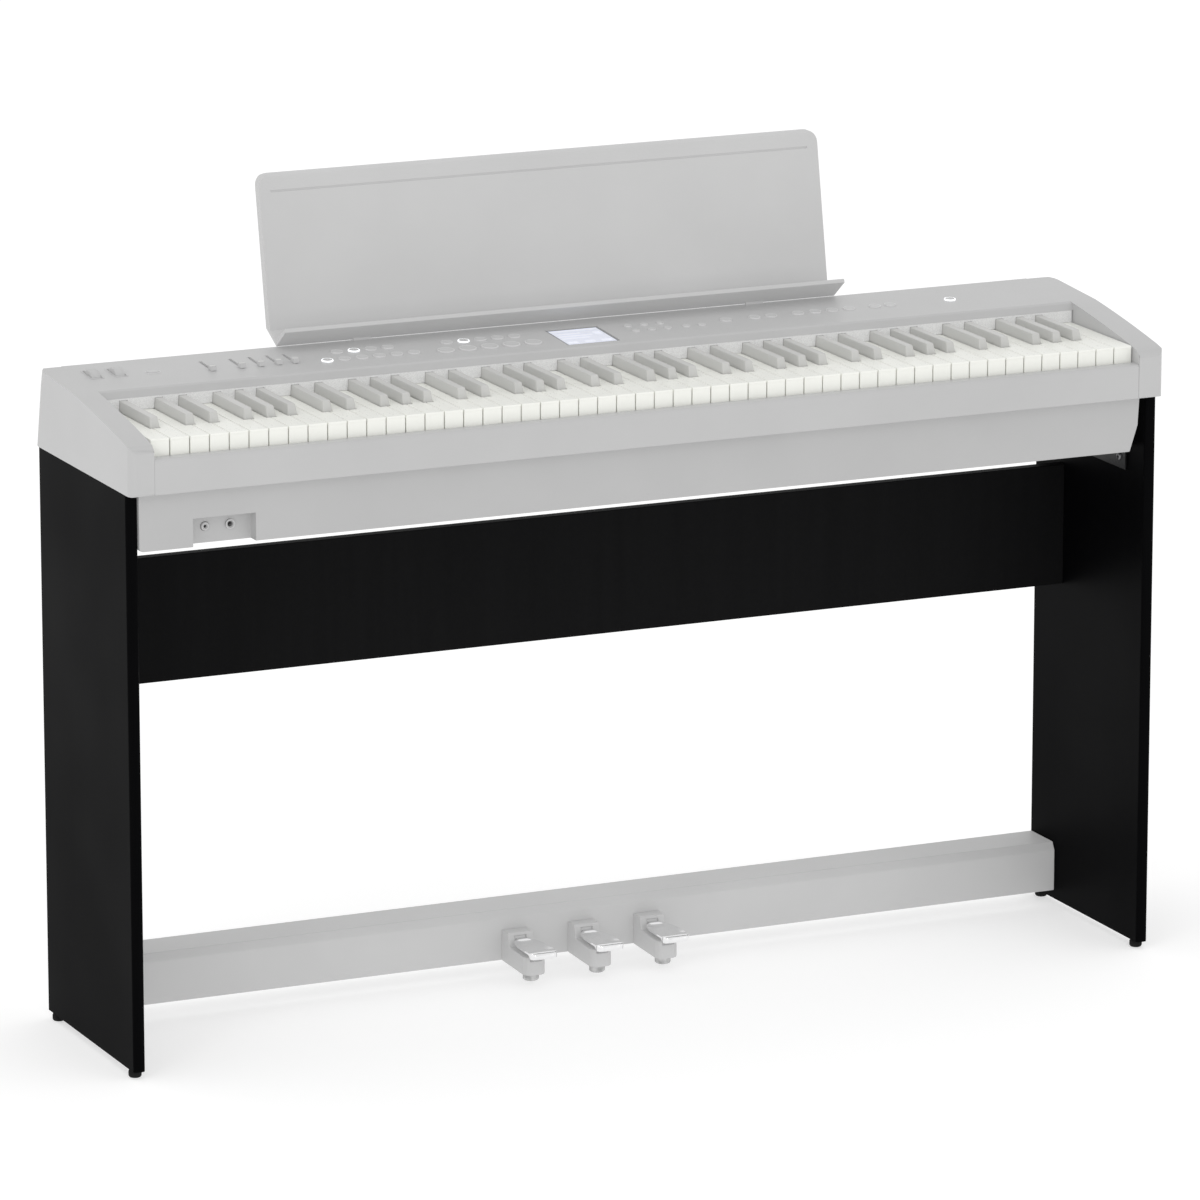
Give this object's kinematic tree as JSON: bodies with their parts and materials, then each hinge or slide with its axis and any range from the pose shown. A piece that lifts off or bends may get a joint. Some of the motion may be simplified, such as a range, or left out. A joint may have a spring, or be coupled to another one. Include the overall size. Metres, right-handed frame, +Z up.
{
  "type": "digital piano on stand",
  "caption": "Compact digital piano on a two-panel stand, with octave key sets, control panel, lift-out music rest and a three-pedal unit.",
  "frame": {"origin": "middle of the overall box, on the floor", "axes": "+X along the keyboard from low to high notes, +Y from the player to the back, +Z up"},
  "size_m": [1.291, 0.347, 0.9575],
  "materials": {
    "case_plastic": "fine satin texture",
    "lower_case_plastic": "fine satin texture",
    "pedal_unit_plastic": "smooth satin",
    "stand_board": "black laminated board, satin",
    "white_key": "warm white, satin gloss",
    "black_key": "grey, matt top",
    "chrome": "polished",
    "rubber": "moulded",
    "bracket_steel": "black powder coat",
    "display_glass": "clear window over a lit screen",
    "circuit_board": "solder mask",
    "socket_plastic": "moulded"
  },
  "bodies": {
    "cabinet": {"left_side_panel": "stand_board", "left_front_glide": "rubber", "left_rear_glide": "rubber", "left_bracket": "bracket_steel", "right_side_panel": "stand_board", "right_front_glide": "rubber", "right_rear_glide": "rubber", "right_bracket": "bracket_steel", "back_panel": "stand_board", "pedal_beam": "pedal_unit_plastic", "pedal_beam_cover": "pedal_unit_plastic", "soft_pedal_arm": "pedal_unit_plastic", "sostenuto_pedal_arm": "pedal_unit_plastic", "damper_pedal_arm": "pedal_unit_plastic", "lower_case": "lower_case_plastic", "key_chassis": "bracket_steel", "front_rail": "case_plastic", "left_cheek": "case_plastic", "right_cheek": "case_plastic", "top_panel": "case_plastic", "main_board": "circuit_board", "left_speaker": "socket_plastic", "right_speaker": "socket_plastic", "headphone_jacks": "socket_plastic", "rear_sockets": "socket_plastic", "display": "display_glass"},
    "white_set_1": {"white_keys_1": "white_key"},
    "white_set_2": {"white_keys_2": "white_key"},
    "white_set_3": {"white_keys_3": "white_key"},
    "white_set_4": {"white_keys_4": "white_key"},
    "white_set_5": {"white_keys_5": "white_key"},
    "white_set_6": {"white_keys_6": "white_key"},
    "white_set_7": {"white_keys_7": "white_key"},
    "black_set_1": {"black_keys_1": "black_key"},
    "black_set_2": {"black_keys_2": "black_key"},
    "black_set_3": {"black_keys_3": "black_key"},
    "black_set_4": {"black_keys_4": "black_key"},
    "black_set_5": {"black_keys_5": "black_key"},
    "black_set_6": {"black_keys_6": "black_key"},
    "black_set_7": {"black_keys_7": "black_key"},
    "soft_lever": {"soft_pedal": "chrome"},
    "soft_foot": {"soft_pedal_foot": "rubber"},
    "sostenuto_lever": {"sostenuto_pedal": "chrome"},
    "sostenuto_foot": {"sostenuto_pedal_foot": "rubber"},
    "damper_lever": {"damper_pedal": "chrome"},
    "damper_foot": {"damper_pedal_foot": "rubber"},
    "music_rest": {"music_rest": "case_plastic"},
    "rhythm_buttons": {"rhythm_buttons": "case_plastic"},
    "tone_buttons": {"tone_buttons": "case_plastic"},
    "menu_buttons": {"menu_buttons": "case_plastic"},
    "function_buttons": {"function_buttons": "case_plastic"},
    "registration_button": {"registration_button": "case_plastic"},
    "power_button": {"power_button": "case_plastic"},
    "pitch_wheel": {"pitch_wheel": "case_plastic"},
    "modulation_wheel": {"modulation_wheel": "case_plastic"},
    "slider_1": {"slider_1": "lower_case_plastic"},
    "slider_2": {"slider_2": "lower_case_plastic"},
    "slider_3": {"slider_3": "lower_case_plastic"},
    "slider_4": {"slider_4": "lower_case_plastic"},
    "slider_5": {"slider_5": "lower_case_plastic"}
  },
  "joints": [
    {"name": "white_keys_1_press", "type": "hinge", "parent": "cabinet", "child": "white_set_1", "pos_m": [0, 0.0405, 0.723], "axis": [1, 0, 0], "range_deg": [0, 2.9], "stiffness_Nm_per_rad": 8, "springref_deg": -9.74},
    {"name": "white_keys_2_press", "type": "hinge", "parent": "cabinet", "child": "white_set_2", "pos_m": [0, 0.0405, 0.723], "axis": [1, 0, 0], "range_deg": [0, 2.9], "stiffness_Nm_per_rad": 8, "springref_deg": -9.74},
    {"name": "white_keys_3_press", "type": "hinge", "parent": "cabinet", "child": "white_set_3", "pos_m": [0, 0.0405, 0.723], "axis": [1, 0, 0], "range_deg": [0, 2.9], "stiffness_Nm_per_rad": 8, "springref_deg": -9.74},
    {"name": "white_keys_4_press", "type": "hinge", "parent": "cabinet", "child": "white_set_4", "pos_m": [0, 0.0405, 0.723], "axis": [1, 0, 0], "range_deg": [0, 2.9], "stiffness_Nm_per_rad": 8, "springref_deg": -9.74},
    {"name": "white_keys_5_press", "type": "hinge", "parent": "cabinet", "child": "white_set_5", "pos_m": [0, 0.0405, 0.723], "axis": [1, 0, 0], "range_deg": [0, 2.9], "stiffness_Nm_per_rad": 8, "springref_deg": -9.74},
    {"name": "white_keys_6_press", "type": "hinge", "parent": "cabinet", "child": "white_set_6", "pos_m": [0, 0.0405, 0.723], "axis": [1, 0, 0], "range_deg": [0, 2.9], "stiffness_Nm_per_rad": 8, "springref_deg": -9.74},
    {"name": "white_keys_7_press", "type": "hinge", "parent": "cabinet", "child": "white_set_7", "pos_m": [0, 0.0405, 0.723], "axis": [1, 0, 0], "range_deg": [0, 2.9], "stiffness_Nm_per_rad": 8, "springref_deg": -9.74},
    {"name": "black_keys_1_press", "type": "hinge", "parent": "cabinet", "child": "black_set_1", "pos_m": [0, 0.0405, 0.743], "axis": [1, 0, 0], "range_deg": [0, 3.7], "stiffness_Nm_per_rad": 3, "springref_deg": -8.59},
    {"name": "black_keys_2_press", "type": "hinge", "parent": "cabinet", "child": "black_set_2", "pos_m": [0, 0.0405, 0.743], "axis": [1, 0, 0], "range_deg": [0, 3.7], "stiffness_Nm_per_rad": 3, "springref_deg": -8.59},
    {"name": "black_keys_3_press", "type": "hinge", "parent": "cabinet", "child": "black_set_3", "pos_m": [0, 0.0405, 0.743], "axis": [1, 0, 0], "range_deg": [0, 3.7], "stiffness_Nm_per_rad": 3, "springref_deg": -8.59},
    {"name": "black_keys_4_press", "type": "hinge", "parent": "cabinet", "child": "black_set_4", "pos_m": [0, 0.0405, 0.743], "axis": [1, 0, 0], "range_deg": [0, 3.7], "stiffness_Nm_per_rad": 3, "springref_deg": -8.59},
    {"name": "black_keys_5_press", "type": "hinge", "parent": "cabinet", "child": "black_set_5", "pos_m": [0, 0.0405, 0.743], "axis": [1, 0, 0], "range_deg": [0, 3.7], "stiffness_Nm_per_rad": 3, "springref_deg": -8.59},
    {"name": "black_keys_6_press", "type": "hinge", "parent": "cabinet", "child": "black_set_6", "pos_m": [0, 0.0405, 0.743], "axis": [1, 0, 0], "range_deg": [0, 3.7], "stiffness_Nm_per_rad": 3, "springref_deg": -8.59},
    {"name": "black_keys_7_press", "type": "hinge", "parent": "cabinet", "child": "black_set_7", "pos_m": [0, 0.0405, 0.743], "axis": [1, 0, 0], "range_deg": [0, 3.7], "stiffness_Nm_per_rad": 3, "springref_deg": -8.59},
    {"name": "soft_pedal_press", "type": "hinge", "parent": "cabinet", "child": "soft_lever", "pos_m": [-0.085, 0.0845, 0.048], "axis": [1, 0, 0], "range_deg": [0, 4.3], "stiffness_Nm_per_rad": 12, "springref_deg": -2.86},
    {"name": "soft_foot_extend", "type": "slide", "parent": "cabinet", "child": "soft_foot", "axis": [0, 0, -1], "range_m": [0, 0.0068]},
    {"name": "sostenuto_pedal_press", "type": "hinge", "parent": "cabinet", "child": "sostenuto_lever", "pos_m": [0, 0.0845, 0.048], "axis": [1, 0, 0], "range_deg": [0, 4.3], "stiffness_Nm_per_rad": 12, "springref_deg": -2.86},
    {"name": "sostenuto_foot_extend", "type": "slide", "parent": "cabinet", "child": "sostenuto_foot", "axis": [0, 0, -1], "range_m": [0, 0.0068]},
    {"name": "damper_pedal_press", "type": "hinge", "parent": "cabinet", "child": "damper_lever", "pos_m": [0.085, 0.0845, 0.048], "axis": [1, 0, 0], "range_deg": [0, 4.3], "stiffness_Nm_per_rad": 12, "springref_deg": -2.86},
    {"name": "damper_foot_extend", "type": "slide", "parent": "cabinet", "child": "damper_foot", "axis": [0, 0, -1], "range_m": [0, 0.0068]},
    {"name": "music_rest_lift", "type": "slide", "parent": "cabinet", "child": "music_rest", "axis": [0, 0, 1], "range_m": [0, 0.012]},
    {"name": "rhythm_buttons_press", "type": "slide", "parent": "cabinet", "child": "rhythm_buttons", "axis": [0, 0.0668, -0.9978], "range_m": [0, 0.001], "stiffness_N_per_m": 900, "springref_m": -0.0015},
    {"name": "tone_buttons_press", "type": "slide", "parent": "cabinet", "child": "tone_buttons", "axis": [0, 0.0668, -0.9978], "range_m": [0, 0.001], "stiffness_N_per_m": 900, "springref_m": -0.0015},
    {"name": "menu_buttons_press", "type": "slide", "parent": "cabinet", "child": "menu_buttons", "axis": [0, 0.0668, -0.9978], "range_m": [0, 0.001], "stiffness_N_per_m": 900, "springref_m": -0.0015},
    {"name": "function_buttons_press", "type": "slide", "parent": "cabinet", "child": "function_buttons", "axis": [0, 0.0668, -0.9978], "range_m": [0, 0.001], "stiffness_N_per_m": 900, "springref_m": -0.0015},
    {"name": "registration_button_press", "type": "slide", "parent": "cabinet", "child": "registration_button", "axis": [0, 0.0668, -0.9978], "range_m": [0, 0.001], "stiffness_N_per_m": 900, "springref_m": -0.0015},
    {"name": "power_button_press", "type": "slide", "parent": "cabinet", "child": "power_button", "axis": [0, 0.0668, -0.9978], "range_m": [0, 0.001], "stiffness_N_per_m": 900, "springref_m": -0.0015},
    {"name": "pitch_wheel_turn", "type": "hinge", "parent": "cabinet", "child": "pitch_wheel", "pos_m": [-0.597, 0.06688, 0.75506], "axis": [1, 0, 0], "range_deg": [-30, 30], "stiffness_Nm_per_rad": 0.03},
    {"name": "modulation_wheel_turn", "type": "hinge", "parent": "cabinet", "child": "modulation_wheel", "pos_m": [-0.568, 0.06688, 0.75506], "axis": [1, 0, 0], "range_deg": [0, 60]},
    {"name": "slider_1_slide", "type": "slide", "parent": "cabinet", "child": "slider_1", "axis": [0, 0.9978, 0.0668], "range_m": [0, 0.033]},
    {"name": "slider_2_slide", "type": "slide", "parent": "cabinet", "child": "slider_2", "axis": [0, 0.9978, 0.0668], "range_m": [0, 0.033]},
    {"name": "slider_3_slide", "type": "slide", "parent": "cabinet", "child": "slider_3", "axis": [0, 0.9978, 0.0668], "range_m": [0, 0.033]},
    {"name": "slider_4_slide", "type": "slide", "parent": "cabinet", "child": "slider_4", "axis": [0, 0.9978, 0.0668], "range_m": [0, 0.033]},
    {"name": "slider_5_slide", "type": "slide", "parent": "cabinet", "child": "slider_5", "axis": [0, 0.9978, 0.0668], "range_m": [0, 0.033]}
  ]
}
